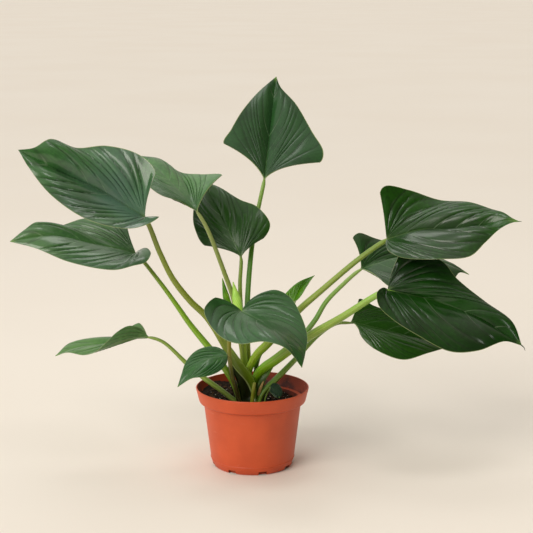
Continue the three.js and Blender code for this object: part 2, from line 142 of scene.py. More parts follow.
def finishMaterial(made, colour, roughness=None, height=None, bump=(0.3, 0.0005)):
    # joins the wires to the shader; bump is its strength and its depth in metres
    tree = made.node_tree
    shader = tree.nodes["Principled BSDF"]
    plug(tree, shader.inputs["Base Color"], colour)
    if roughness is not None:
        plug(tree, shader.inputs["Roughness"], roughness)
    if height is not None:
        normal = height.add("ShaderNodeBump", inputs={
            "Height": height, "Strength": bump[0], "Distance": bump[1]})
        plug(tree, shader.inputs["Normal"], normal)
    return made


def unit(vectors):
    return vectors / np.maximum(np.linalg.norm(vectors, axis=-1, keepdims=True), 1e-9)


def pathThrough(points, skip=0, samples=60):
    # a smooth curve through the points, read by the share of its length past the first skipped spans
    spine = np.array(points, float)
    spine = np.vstack([2 * spine[0] - spine[1], spine, 2 * spine[-1] - spine[-2]])
    share = np.linspace(0, 1, samples)[:, None]
    spans = []
    for i in range(1 + skip, len(spine) - 2):
        before, start, end, after = spine[i - 1:i + 3]
        gaps = [math.sqrt(np.linalg.norm(b - a)) for a, b in ((before, start), (start, end), (end, after))]
        leave = (start - before) / gaps[0] - (end - before) / (gaps[0] + gaps[1]) + (end - start) / gaps[1]
        arrive = (end - start) / gaps[1] - (after - start) / (gaps[1] + gaps[2]) + (after - end) / gaps[2]
        spans.append((2 * share ** 3 - 3 * share ** 2 + 1) * start
                     + (share ** 3 - 2 * share ** 2 + share) * leave * gaps[1]
                     + (3 * share ** 2 - 2 * share ** 3) * end
                     + (share ** 3 - share ** 2) * arrive * gaps[1])
    line = np.vstack(spans)
    lengths = np.r_[0, np.cumsum(np.linalg.norm(np.diff(line, axis=0), axis=1))]
    lengths /= lengths[-1]
    return lambda places: np.stack([np.interp(places, lengths, line[:, axis]) for axis in range(3)], -1)


def softStep(values, low, high):
    share = np.clip((np.asarray(values, float) - low) / (high - low), 0, 1)
    return share * share * (3 - 2 * share)


def gridFaces(rows, columns, first=0):
    corner = first + np.arange(rows * columns).reshape(rows, columns)
    return np.stack([corner[:-1, :-1], corner[:-1, 1:], corner[1:, 1:], corner[1:, :-1]], -1).reshape(-1, 4)


def gridNormals(points):
    # the upward direction at each point of a grid whose rows may meet in one point
    rows, columns = points.shape[:2]
    flat = points.reshape(-1, 3)
    same = np.unique(np.round(flat, 4), axis=0, return_inverse=True)[1].reshape(-1)
    faces = gridFaces(rows, columns)
    a, b, c, d = (flat[faces[:, i]] for i in range(4))
    turned = np.cross(c - a, d - b)
    total = np.zeros_like(flat)
    for i in range(4):
        np.add.at(total, same[faces[:, i]], turned)
    return unit(total[same]).reshape(rows, columns, 3)


def skin(points, marks, slot=0):
    # a grid of points as faces; marks are its two pattern coordinates
    rows, columns = points.shape[:2]
    faces = gridFaces(rows, columns)
    return {"points": points.reshape(-1, 3), "faces": faces, "marks": marks.reshape(-1, 2),
            "slots": np.full(len(faces), slot)}


def together(shapes):
    start = 0
    faces = []
    for shape in shapes:
        faces.append(shape["faces"] + start)
        start += len(shape["points"])
    return {"points": np.vstack([s["points"] for s in shapes]), "faces": np.vstack(faces),
            "marks": np.vstack([s["marks"] for s in shapes]),
            "slots": np.concatenate([s["slots"] for s in shapes])}


def slab(top, under, marks, topSlot=0, underSlot=0):
    # a thin closed body between two sheets, with its rim
    rows, columns = top.shape[:2]
    count = rows * columns
    body = together([skin(top, marks, topSlot), skin(under, marks, underSlot)])
    number = np.arange(count).reshape(rows, columns)
    rim = []
    for line in (number[0], number[-1], number[:, 0], number[:, -1]):
        rim.append(np.stack([line[:-1], line[1:], line[1:] + count, line[:-1] + count], -1))
    rim = np.vstack(rim)
    body["faces"] = np.vstack([body["faces"], rim])
    body["slots"] = np.concatenate([body["slots"], np.full(len(rim), topSlot)])
    return body


def bodyMesh(name, shape, sharp=45):
    # a closed smooth body in metres
    mesh = bpy.data.meshes.new(name)
    mesh.from_pydata((shape["points"] * mm).tolist(), [], shape["faces"].tolist())
    layer = mesh.uv_layers.new(name="pattern")
    corners = np.zeros(len(mesh.loops), int)
    mesh.loops.foreach_get("vertex_index", corners)
    layer.data.foreach_set("uv", shape["marks"][corners].astype(np.float32).ravel())
    mesh.polygons.foreach_set("material_index", shape["slots"].astype(np.int32))
    body = bmesh.new()
    body.from_mesh(mesh)
    bmesh.ops.remove_doubles(body, verts=body.verts, dist=1e-6)
    bmesh.ops.recalc_face_normals(body, faces=body.faces)
    for face in body.faces:
        face.smooth = True
    body.to_mesh(mesh)
    body.free()
    mesh.set_sharp_from_angle(angle=math.radians(sharp))
    return mesh


def newObject(name, data):
    made = bpy.data.objects.new(name, data)
    bpy.context.scene.collection.objects.link(made)
    return made


def addPiece(name, mesh, materials, replaced=()):
    mesh.materials.clear()
    for material in materials:
        mesh.materials.append(material)
    piece = newObject(name, mesh)
    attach(piece, "root")
    if replaced:
        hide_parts(*replaced)


def makePiece(name, shape, materials, replaced=(), sharp=45):
    addPiece(name, bodyMesh(name, shape, sharp), materials, replaced)


# How every blade is built, in millimetres and shares; "archRoom" is the half width from which a half
# bulges in full
bladeForm = {
    "thickness": 1.1, "edgeThickness": 0.45, "ribDepth": 1.2, "ribGroove": 0.5, "fanShare": 0.38,
    "ribSpacing": 1.8, "tipSpacing": 0.8, "tipStart": 0.75, "fanEnd": 0.8, "veinTurn": 0.31,
    "veinReach": 0.525, "veins": 10, "veinDrift": 0.018, "veinSweep": 0.13, "rows": 170, "columns": 24,
    "grooveWidth": 1.7, "keelWidth": 1.5, "columnSpacing": 1.3, "lastColumn": 0.985, "archRoom": 50,
    "fanStart": 0.9, "driftTurns": (23, 9), "sweepFade": (0.6, 0.95), "driftStart": (0, 0.12),
}
# Where the swelling between the veins dies out: beside the midrib, the margin, the tip and the base, and
# within "room" millimetres of the midrib. It falls from "crest" by "slope" and "valley" to each vein
swellForm = {
    "room": 14, "midrib": (0.04, 0.45), "margin": (0.8, 1), "tip": (0.76, 0.94), "base": (0, 0.05),
    "crest": 0.6, "slope": 0.5, "valley": 0.9,
}

# Each leaf: "at" is where its blade joins its stalk. The blade's other points count from there: the tip,
# the midrib, and each margin, whose first point is the inner end of its lobe. Left and right are the
# leaf's own, looking from stalk to tip. "arch" is how far each half bulges, "relief" how far the blade
# swells between its veins, and "drip" the thin point past the tip, counted from it. The stalk runs up
# "route", with its half widths in "radii". "channel" is how deep it opens on the side away from "back",
# which is the blade's side where none is stated. "deep" and "fresh" are the blade's greens,
# "paintedSheen" the greyish green of a painted sheen laid over it in patches, and "gloss" and
# "paintedSheenAmount" the strengths of its coat and of that painted sheen. "stalk" has the stalk's
# colours at foot, middle and top, "footReach" the shares of its length between which the foot's colour
# ends, and "margins" the colours of a sheath's two edges.
# The blades' greens are set leaf by leaf, partly as painted light and shade: the leaves at the left are
# painted lighter and those at the right darker.
leaves = {
    "young": {
        "at": (57, 50, 213), "tip": (28, 20, 33), "rib": [(8, 9, 15)],
        "left": [(-8, 2, 2), (-14, 5, 6), (-5, 10, 17), (8, 14, 26)],
        "right": [(1, -3, 2), (4, -6, 4), (11, -6, 13), (18, 4, 23)], "arch": (0, 0),
        "route": [(2, 6, 112), (9, 14, 146), (22, 26, 161), (44, 45, 194)], "radii": [3.6, 3.2, 2.6, 2],
        "deep": "3a6c04", "fresh": "4f8608", "paintedSheen": "6f9c50", "stalk": ("6f8a2c", "6f8f2c", "5f8c22"),
    },
    "centre": {
        "at": (-16, 60, 274), "tip": (-54, 85, 91), "rib": [(-15, 20, 28), (-35, 55, 61)],
        "left": [(-14, 3, 10), (-50, 13, 13), (-64, 29, 34), (-67, 49, 52), (-62, 70, 75)],
        "right": [(10, 2, 14), (31, 13, 23), (40, 21, 41), (23, 34, 63), (-2, 51, 71), (-33, 73, 86)],
        "arch": (3, 3),
        "route": [(-6, 6, 108), (-10, 8, 142), (-13, 18, 178), (-16, 36, 212), (-17, 48, 241)],
        "radii": [4.4, 3.6, 3.3, 3, 2.7, 2.4], "relief": 0.8, "gloss": 0.35,
        # its stalk's pale foot is partly its own colour and partly painted light, where it stands in the
        # crown's shade
        "deep": "16360c", "fresh": "234a12", "paintedSheen": "4a6046", "stalk": ("98b040", "7c962a", "6c8c28"),
    },
    "top": {
        "at": (16, 120, 372), "tip": (17, 115, 134), "rib": [(5, 45, 42), (11, 88, 88)],
        "left": [(-12, 8, 28), (-57, 24, 47), (-47, 42, 65), (-33, 66, 87), (-10, 97, 112)],
        "right": [(16, 5, 20), (78, 20, 21), (83, 32, 35), (68, 56, 60), (45, 88, 97), (23, 108, 120)],
        "arch": (3, 3),
        "route": [(-4, 10, 106), (-6, 17, 140), (-7, 27, 165), (-7, 52, 216), (-1, 90, 284),
                  (5, 107, 320)],
        "radii": [4.6, 4, 3.8, 3.6, 3.4, 3, 2.7], "relief": 0.7, "gloss": 0.45,
        # its stalk's pale foot is partly its own colour and partly painted light, where it stands in the
        # crown's shade
        "deep": "193a18", "fresh": "244e22", "paintedSheen": "4f6652", "stalk": ("96a03a", "4e861c", "6f9434"),
    },
    "back_left": {
        "at": (-74, 30, 342), "tip": (-82, 95, 62), "rib": [(-27, 30, 25), (-56, 62, 48)],
        "left": [(-8, -6, 5), (-21, -12, 15), (-46, -12, 23), (-71, 22, 36), (-86, 65, 51)],
        "right": [(8, 12, 27), (33, 30, 44), (2, 62, 41), (-27, 85, 41), (-56, 98, 58)], "arch": (5, 3),
        "route": [(-8, 3, 102), (-12, 5, 136), (-14, 8, 158), (-19, 12, 185), (-25, 20, 222),
                  (-38, 25, 260), (-61, 30, 319)],
        "radii": [5, 4.6, 4.3, 4, 3.7, 3.4, 2.9], "relief": 1.6,
        # its stalk's pale foot is partly its own colour and partly painted light, where it stands in the
        # crown's shade
        "deep": "33602e", "fresh": "4f8040", "paintedSheen": "87a384", "stalk": ("9cb044", "86984a", "919f60"),
    },
    "back_right": {
        "at": (149, 70, 255), "tip": (152, 25, -13), "rib": [(48, 20, 11), (105, 28, 7)],
        "left": [(0, 6, 23), (-11, 15, 40), (-3, 22, 46), (23, 40, 35), (72, 55, 19), (118, 44, 5),
                 (141, 30, -6)],
        "right": [(9, -12, 1), (20, -27, -5), (39, -37, -18), (79, -28, -22), (126, 2, -16),
                  (139, 19, -9)],
        "arch": (4, 4),
        "route": [(4, 4, 102), (24, 16, 133), (38, 22, 142), (52, 26, 153), (73, 34, 175), (86, 40, 191),
                  (100, 48, 213), (120, 58, 232)],
        "radii": [6, 5.6, 5, 4.6, 4.2, 3.8, 3.4, 3], "gloss": 0.8,
        "deep": "234620", "fresh": "2d5822", "paintedSheen": "5b675a", "stalk": ("4a7818", "5c8c26", "84a44c"),
    },
    "upper_right": {
        "at": (176, -20, 313), "tip": (170, -15, 26), "rib": [(44, 2, 12), (108, -5, 14), (150, -12, 27)],
        "left": [(-3, 6, 31), (-9, 8, 60), (-2, 14, 68), (32, 30, 60), (72, 30, 47), (110, 18, 46),
                 (137, 4, 39), (151, -6, 36), (161, -12, 30)],
        "right": [(-5, -18, -7), (2, -34, -11), (18, -46, -16), (64, -54, -16), (104, -44, -14),
                  (124, -32, 1), (141, -23, 15), (153, -19, 22), (162, -17, 25)],
        "arch": (4, 6),
        "drip": [(3, 0, 0)],
        "route": [(-10, 5, 108), (-5, 3, 132), (6, -1, 153), (20, -4, 168), (62, -12, 216),
                  (89, -15, 241), (142, -20, 288)],
        "radii": [7, 8, 7.6, 6, 5.2, 4.8, 4.5, 4.3], "channel": 0.3, "relief": 1.4, "gloss": 0.75,
        "deep": "143608", "fresh": "1e5008", "paintedSheen": "4c5848", "stalk": ("9cc026", "78902a", "6c8826"),
    },
    "front": {
        "at": (-13, -70, 228), "tip": (76, -80, -53), "rib": [(24, -30, -6), (52, -60, -19)],
        "left": [(6, 10, 12), (25, 18, 20), (45, 22, 23), (63, 18, 14), (77, 0, -7), (84, -25, -27),
                 (81, -52, -41)],
        "right": [(-14, 2, 14), (-33, -8, 20), (-47, -22, 8), (-41, -36, -7), (-23, -54, -22),
                  (-1, -68, -26), (29, -80, -20), (55, -84, -27)],
        "arch": (4, 4),
        "route": [(-18, -24, 94), (-22, -25, 113), (-27, -27, 131), (-30, -37, 164), (-29, -52, 190),
                  (-26, -62, 212)],
        "radii": [3, 3, 2.9, 2.8, 2.7, 2.6], "relief": 0.8, "gloss": 0.7, "paintedSheenAmount": 0.25,
        # its stalk's near-black foot, reaching further up than on the other stalks, is painted shade in the
        # crown's dark hollow
        "deep": "234a20", "fresh": "2d5c28", "paintedSheen": "5f7a68", "stalk": ("2a2408", "8a8a30", "c2c45a"),
        "footReach": (0.2, 0.45),
    },
    "lower_right": {
        "at": (175, -60, 254), "tip": (172, -20, -69), "rib": [(56, 5, -14), (117, -5, -36)],
        "left": [(4, 8, 22), (15, 15, 42), (44, 30, 44), (75, 32, 30), (92, 22, 10), (128, 10, -18),
                 (161, -6, -41)],
        "right": [(-8, -14, 10), (-16, -30, 3), (-14, -40, -12), (2, -48, -27), (35, -56, -47),
                  (76, -54, -68), (113, -42, -70), (149, -26, -62)],
        "arch": (4, 6),
        "drip": [(3, 0, -3), (4.5, 0, -7)],
        "route": [(-2, 4, 106), (8, -1, 127), (17, -8, 138), (28, -14, 147), (51, -22, 166),
                  (73, -32, 184), (115, -46, 213)],
        "radii": [8, 9.4, 9, 7.2, 6.2, 5.5, 5], "channel": 0.3, "relief": 1.3, "gloss": 0.65,
        "deep": "0d2c07", "fresh": "154208", "paintedSheen": "46524a", "stalk": ("80bc10", "7e9c34", "8cb848"),
    },
    "low_right": {
        "at": (133, 20, 192), "tip": (142, 10, -35), "rib": [(46, 5, -12), (101, 8, -27)],
        "left": [(6, 5, 13), (11, 12, 29), (34, 26, 16), (83, 35, -3), (123, 25, -20)],
        "right": [(9, -7, -1), (11, -16, -12), (21, -24, -24), (40, -31, -35), (69, -32, -44),
                  (103, -20, -38)],
        "arch": (4, 4),
        "route": [(6, -15, 84), (13, -12, 102), (30, -6, 118), (54, 1, 141), (91, 14, 177),
                  (113, 18, 190)],
        "radii": [5.6, 6, 5, 4.2, 3.4, 2.8, 2.5], "channel": 0.3, "gloss": 0.6,
        "deep": "1d420e", "fresh": "285212", "paintedSheen": "66705b", "stalk": ("5a8420", "668a2c", "607a2a"),
    },
    "upper_left": {
        "at": (-137, -50, 347), "tip": (-158, -10, 88), "rib": [(-59, 4, 35), (-110, 0, 60)],
        "left": [(9, -22, 5), (21, -38, 7), (8, -44, -1), (-17, -50, -6), (-66, -51, 5), (-113, -36, 33),
                 (-142, -20, 64)],
        "right": [(1, -2, 24), (14, 5, 56), (-7, 18, 78), (-50, 25, 89), (-88, 20, 87), (-119, 5, 100),
                  (-139, -5, 90)],
        "arch": (6, 4),
        "route": [(-4, -16, 86), (-6, -16, 108), (-10, -17, 123), (-20, -17, 140), (-32, -19, 163),
                  (-59, -26, 209), (-81, -32, 233), (-103, -38, 264), (-119, -42, 299)],
        "radii": [11, 12, 9.4, 5.6, 4.8, 4.4, 4.1, 3.9, 3.6, 3.4, 3.2, 3], "back": (-3, 10),
        "channel": 1.7, "margins": ("b5c97f", "553c14"), "relief": 1.9, "gloss": 1.0, "paintedSheenAmount": 0.45,
        "deep": "2c4f2c", "fresh": "3a6c34", "paintedSheen": "627f78", "stalk": ("6c8c14", "7c8c2c", "7f8f38"),
    },
    "lower_left": {
        "at": (-155, 10, 289), "tip": (-165, -10, 17), "rib": [(-54, 0, 12), (-113, -5, 24)],
        "left": [(18, -15, 16), (23, -34, 6), (17, -42, -4), (0, -48, -8), (-24, -50, -13),
                 (-83, -38, -5), (-129, -22, 10)],
        "right": [(-8, 8, 16), (-12, 20, 30), (-40, 36, 42), (-74, 35, 40), (-111, 22, 31), (-132, 8, 40),
                  (-147, 0, 31)],
        "arch": (5, 5),
        "route": [(-17, -16, 86), (-20, -18, 106), (-28, -18, 125), (-46, -19, 152), (-83, -8, 196),
                  (-100, -4, 220), (-123, 2, 251)],
        "radii": [5, 6.4, 5.8, 4.8, 3.9, 3.4, 3],
        "channel": 0.3, "relief": 1.3, "gloss": 0.9, "paintedSheenAmount": 0.45,
        "deep": "32582e", "fresh": "48723c", "paintedSheen": "76907e", "stalk": ("86b42e", "76a41c", "728c2a"),
    },
    "low_left": {
        "at": (-140, -10, 179), "tip": (-122, -5, -25),
        "rib": [(-25, 0, -2), (-52, 0, -8), (-90, 0, -14)],
        "left": [(-1, -3, 8), (-8, -8, 14), (-22, -16, 19), (-36, -26, 14), (-51, -34, 1),
                 (-64, -34, -11), (-81, -27, -18), (-105, -14, -18)],
        "right": [(-4, 4, 13), (-11, 12, 16), (-30, 26, 4), (-53, 32, -9), (-82, 28, -13),
                  (-105, 14, -12)],
        "arch": (2, 2),
        "route": [(-15, -17, 86), (-36, -19, 104), (-50, -18, 114), (-64, -17, 124), (-87, -14, 143),
                  (-119, -10, 172)],
        "radii": [4.6, 4.8, 4.4, 3.7, 3, 2.5], "channel": 0.3,
        "deep": "4a7440", "fresh": "5f8a4a", "paintedSheen": "7d987a", "stalk": ("86a246", "809c40", "7a963e"),
    },
    "small": {
        "at": (-32, -60, 167), "tip": (-63, -35, -33), "rib": [(-22, -12, -1), (-44, -26, -13)],
        "left": [(1, -4, -4), (-1, -10, -9), (-12, -26, -16), (-29, -37, -19), (-44, -40, -20)],
        "right": [(-1, 2, 4), (-7, 6, 5), (-22, 10, 9), (-40, 5, 5), (-53, -8, -6), (-59, -26, -21)],
        "arch": (2, 2),
        "route": [(-14, -30, 92), (-20, -32, 106), (-26, -38, 130), (-29, -52, 156)],
        "radii": [2, 2, 2, 1.9],
        # its stalk's near-black foot is painted shade in the crown's dark hollow
        "deep": "2a5628", "fresh": "386a30", "paintedSheen": "5f806a", "stalk": ("2f2a0a", "5a5a24", "8a8a44"),
    },
    "seedling": {
        "at": (24, -22, 113), "tip": (12, -8, -13), "rib": [(6, -3, -4)],
        "left": [(0, 3, 1), (3, 7, 3), (10, 9, 2), (15, 4, -3), (16, -3, -9)],
        "right": [(0, -3, -1), (-1, -6, -3), (3, -9, -8), (8, -10, -12)], "arch": (1, 1),
        "route": [(15, -17, 84), (18, -20, 98)], "radii": [1.7, 1.3, 0.9],
        "deep": "143420", "fresh": "1d4428", "paintedSheen": "4a6a5c", "stalk": ("6f8a3a", "6f903a", "6f903a"),
    },
}


def bladeSheets(leaf):
    # the top and underside of a blade as two grids, row by row from the lobes to the tip
    form = bladeForm
    tip = leaf["tip"]
    rib = pathThrough([(0, 0, 0), *leaf["rib"], tip])
    along = np.linspace(0, 1, form["rows"] + 1)
    past = np.clip((along - form["fanShare"]) / (1 - form["fanShare"]), 0, 1)
    swept = past ** form["ribSpacing"]
    ribShare = swept + (1 - form["tipSpacing"] * (1 - past) - swept) * softStep(past, form["tipStart"], 1)
    root = rib(ribShare)
    step = 0.02
    ahead = unit(rib(np.clip(ribShare + step, 0, 1)) - rib(np.clip(ribShare - step, 0, 1)))
    across = np.r_[np.linspace(0, 1, form["columns"]) ** form["columnSpacing"] * form["lastColumn"], 1]
    lobes = np.clip(1 - along / form["fanShare"], 0, 1)[:, None] ** 2
    fan = 1 - softStep(along, form["fanShare"] * form["fanStart"], form["fanEnd"])[:, None]
    halves = []
    spans = []
    for side, sign, arch in (("left", 1, leaf["arch"][0]), ("right", -1, leaf["arch"][1])):
        base = np.array(leaf[side][0], float)
        edge = pathThrough([*leaf[side], tip], skip=1)(along)
        span = np.linalg.norm(edge - root, axis=1, keepdims=True)
        reach = unit(edge - root)
        forward = unit(ahead - (ahead * reach).sum(1, keepdims=True) * reach)
        up = np.cross(forward, reach) * sign
        # in the fan, a vein leaves the stalk turned from the line to its end, in step with the base's edge
        splay = np.arccos(np.clip((ahead * reach).sum(1, keepdims=True), -1, 1))
        baseReach, baseRise = np.hypot(base @ reach[0], base @ forward[0]), base @ up[0]
        baseTurn = math.atan2(base @ forward[0], base @ reach[0])
        turn = baseTurn * splay / splay[0] * fan - form["veinTurn"] * (1 - fan)
        length = baseReach * span / span[0] * lobes + form["veinReach"] * span * (1 - lobes)
        arched = 2 * arch * np.minimum(1, span / form["archRoom"])
        rise = baseRise * span / span[0] * lobes + arched * (1 - lobes)
        bend = root + length * (np.cos(turn) * reach + np.sin(turn) * forward) + rise * up
        share = across[None, :, None]
        halves.append((1 - share) ** 2 * root[:, None] + 2 * share * (1 - share) * bend[:, None]
                      + share ** 2 * edge[:, None])
        spans.append(span * across[None, :])
    middle = np.concatenate([halves[0][:, :0:-1], halves[1]], 1) + np.array(leaf["at"], float)
    distance = np.concatenate([spans[0][:, :0:-1], spans[1]], 1)
    sideways = np.concatenate([-across[:0:-1], across])
    up = gridNormals(middle)

    # the blade swells between its sunken veins, and dips along the midrib
    reach = np.abs(sideways)[None, :]
    quick, slow = form["driftTurns"]
    waves = np.sin(along * quick + leaf["at"][0]) + np.sin(along * slow + leaf["at"][2])
    drift = form["veinDrift"] * waves
    sweep = form["veinSweep"] * reach ** 2.5 * (1 - softStep(along, *form["sweepFade"]))[:, None]
    veinPlace = along[:, None] + (drift[:, None] - sweep) * softStep(along, *form["driftStart"])[:, None]
    veinPlace = np.maximum(veinPlace, along[:, None] * 0.4)
    near = np.abs((veinPlace * form["veins"]) % 1 - 0.5) * 2
    swell = swellForm
    room = softStep(reach, *swell["midrib"]) * (1 - softStep(reach, *swell["margin"]))
    room = room * np.minimum(1, distance / swell["room"])
    room = room * (1 - softStep(along, *swell["tip"]))[:, None] * softStep(along, *swell["base"])[:, None]
    crest = swell["crest"] - swell["slope"] * near ** 2 - swell["valley"] * near ** 8
    relief = leaf.get("relief", 1.0) * room * crest
    outward = 1 - ribShare[:, None]
    groove = form["ribGroove"] * np.exp(-(distance / form["grooveWidth"]) ** 2) * outward
    middle = middle + up * (relief - groove)[..., None]
    half = form["thickness"] / 2 - (form["thickness"] - form["edgeThickness"]) / 2 * reach ** 10
    keel = form["ribDepth"] * np.exp(-(distance / form["keelWidth"]) ** 2) * outward
    marks = np.stack(np.broadcast_arrays(veinPlace, (sideways[None, :] + 1) / 2), -1)
    return middle + up * half[..., None], middle - up * (half + keel)[..., None], marks


def tube(route, radii, outward, sides=24, flatness=1.0, channel=0.0, channelEnd=0.45, steps=14,
         slot=0, taper=1.0):
    # a closed tube along a route. Its lower part may open into a channel, on the side away from outward,
    # which ends at the share channelEnd of its length, and the tube may narrow from the share taper on
    channelStart, narrowing, step = 0.03, 0.7, 0.01
    centre = pathThrough(route)
    share = np.linspace(0, 1, steps * (len(route) - 1) + 1)
    middle = centre(share)
    forward = unit(centre(np.clip(share + step, 0, 1)) - centre(np.clip(share - step, 0, 1)))
    side = np.cross(np.array([outward[0], outward[1], 0.0]), (0, 0, 1))
    sideways = unit(side - (forward * side).sum(1, keepdims=True) * forward)
    inward = np.cross(sideways, forward)
    width = np.interp(share * (len(radii) - 1), range(len(radii)), radii)
    if taper < 1:
        width = width * (1 - narrowing * softStep(share, taper, 1))
    hollow = channel * softStep(share, 0, channelStart) * (1 - softStep(share, channelStart, channelEnd))
    turn = np.linspace(0, 2 * math.pi, sides + 1)
    x = np.sin(turn)[None, :]
    z = np.cos(turn)[None, :]
    depth = np.where(z > 0, z * (1 - hollow[:, None] * (1 - x ** 2)), z) * flatness
    ring = (middle[:, None] + (sideways[:, None] * x[..., None] + inward[:, None] * depth[..., None])
            * width[:, None, None])
    ring = np.concatenate([ring[:1].mean(1, keepdims=True).repeat(sides + 1, 1), ring,
                           ring[-1:].mean(1, keepdims=True).repeat(sides + 1, 1)])
    share = np.r_[0, share, 1]
    marks = np.stack(np.broadcast_arrays(share[:, None], (turn / (2 * math.pi))[None, :]), -1)
    return skin(ring, marks, slot)


# The spike past a blade's tip starts inside the blade
dripForm = {"inside": 9, "neck": 0.5, "radii": [0.5, 0.8, 0.6, 0.25], "outward": (0.3, 1), "rowsBack": 30}


def bladeShape(leaf):
    # materials: 0 on top, 1 underneath, 2 on the spike
    top, under, marks = bladeSheets(leaf)
    shape = slab(top, under, marks, 0, 1)
    if "drip" in leaf:
        tip = np.array(leaf["at"], float) + leaf["tip"]
        back = unit(tip - top[-dripForm["rowsBack"]].mean(0))
        points = [tip - back * dripForm["inside"], tip - back * dripForm["neck"],
                  *[tip + np.array(step, float) for step in leaf["drip"]]]
        spike = tube(points, dripForm["radii"], dripForm["outward"], sides=10, steps=6, slot=2)
        shape = together([shape, spike])
    return shape


print("leaf shapes ready")


def layered(colour, *layers):
    # a colour with further ones laid over it, each where its wire is 1
    for amount, code in layers:
        colour = amount.blend(colour, code)
    return colour


# The top's coat, painted sheen and tones, which a leaf may state for itself
bladeLook = {"gloss": 0.55, "paintedSheenAmount": 0.12, "veinTone": 0.3, "margin": 0.5}


def bladeTopMaterial(name, leaf):
    # green under a soft coat, with sunken veins and painted shade in their grooves, patches of painted
    # sheen, a painted highlight round the stalk's end, a thin pale margin and a yellowish tip
    look = {**bladeLook, **leaf}
    made, place, marks = startMaterial(name, {
        "Specular IOR Level": 0.14, "Coat Weight": look["gloss"], "Coat Roughness": 0.18})
    along = marks.part(0)
    across = abs(marks.part(1) * 2 - 1)
    wander = (place.clouds(60, 1) - 0.5) * 0.006
    main = along.stripes(bladeForm["veins"])
    fine = (along + wander).stripes(bladeForm["veins"] * 7)
    depth = place.clouds(15, 4, 0.55)
    mottle = place.clouds(240, 2)
    inner = across.ramp(0.1, 0.4)
    edge = across.ramp(0.988, 0.995)
    edge = edge.reckon("MAXIMUM", edge, along.ramp(0.003, 0.001))
    green = layered(
        (depth * 0.75 + mottle * 0.25).ramp(0.36, 0.66).blend(look["deep"], look["fresh"]),
        # painted shade in the grooves of the fine veins
        (fine.ramp(0.35, 0.95) * inner * 0.3, look["deep"]),
        # greyish green patches of painted sheen
        (place.clouds(9, 2).ramp(0.5, 0.75) * look["paintedSheenAmount"], look["paintedSheen"]),
        (main.ramp(0.75, 0.93) * inner * 0.35, "0c1a08"),  # the shade in each vein's valley
        (main.ramp(0.95, 0.99) * across.ramp(0.7, 0.1) * look["veinTone"], "8fa683"),
        (across.ramp(0.03, 0.012) * along.ramp(0.95, 0.3) * 0.35, "6f8f56"),  # the midrib
        # a painted highlight round the stalk's end
        (across.ramp(0.12, 0.0) * along.ramp(0.46, 0.36) * 0.45, "7f9a5f"),  # round the stalk's end
        (edge * look["margin"], "a4b274"),
        (along.ramp(0.95, 1.0) * 0.8, "6f9645"))  # the tip
    height = fine.ramp(0.2, 1.0) * -0.4 + main.ramp(0.86, 1.0) * -0.7 + mottle * 0.5
    rough = 0.24 + place.clouds(40, 2) * 0.16 + fine * 0.04
    return finishMaterial(made, green, rough, height, (0.35, 0.0005))


def bladeUnderMaterial(name):
    # the paler matt side, on which the veins stand out
    made, place, marks = startMaterial(name, {"Specular IOR Level": 0.4, "Sheen Weight": 0.1})
    along = marks.part(0)
    across = abs(marks.part(1) * 2 - 1)
    main = along.stripes(bladeForm["veins"])
    fine = along.stripes(bladeForm["veins"] * 5)
    mottle = place.clouds(120, 3)
    edge = across.ramp(0.984, 0.992)
    edge = edge.reckon("MAXIMUM", edge, along.ramp(0.008, 0.004))
    green = layered(
        (mottle * 0.5 + place.clouds(14, 2) * 0.5).ramp(0.35, 0.65).blend("5c7f30", "84a24a"),
        (fine.ramp(0.5, 1.0) * 0.25, "a9bf6f"),
        (main.ramp(0.86, 0.98) * across.ramp(1.0, 0.4) * 0.6, "b3c67f"),
        (across.ramp(0.06, 0.02) * 0.8, "bccb8a"),
        (edge * 0.7, "b3c080"))
    height = fine.ramp(0.3, 1.0) * 0.6 + main.ramp(0.8, 1.0) + mottle * 0.4
    return finishMaterial(made, green, 0.5 + mottle * 0.12, height, (0.4, 0.0005))


# "clasp" is the share of the blade's rows at which its stalk ends, "claspRise" how far up it ends there
# from the blade's underside to its top, and "taperSpans" how long it narrows, in lengths of that stretch
stalkForm = {
    "flatness": 0.78, "channel": 1.0, "channelEnd": 0.45, "clasp": 0.5, "claspRise": 0.6, "standOff": 1.5,
    "taperSpans": 1.6, "footReach": (0.08, 0.4),
}


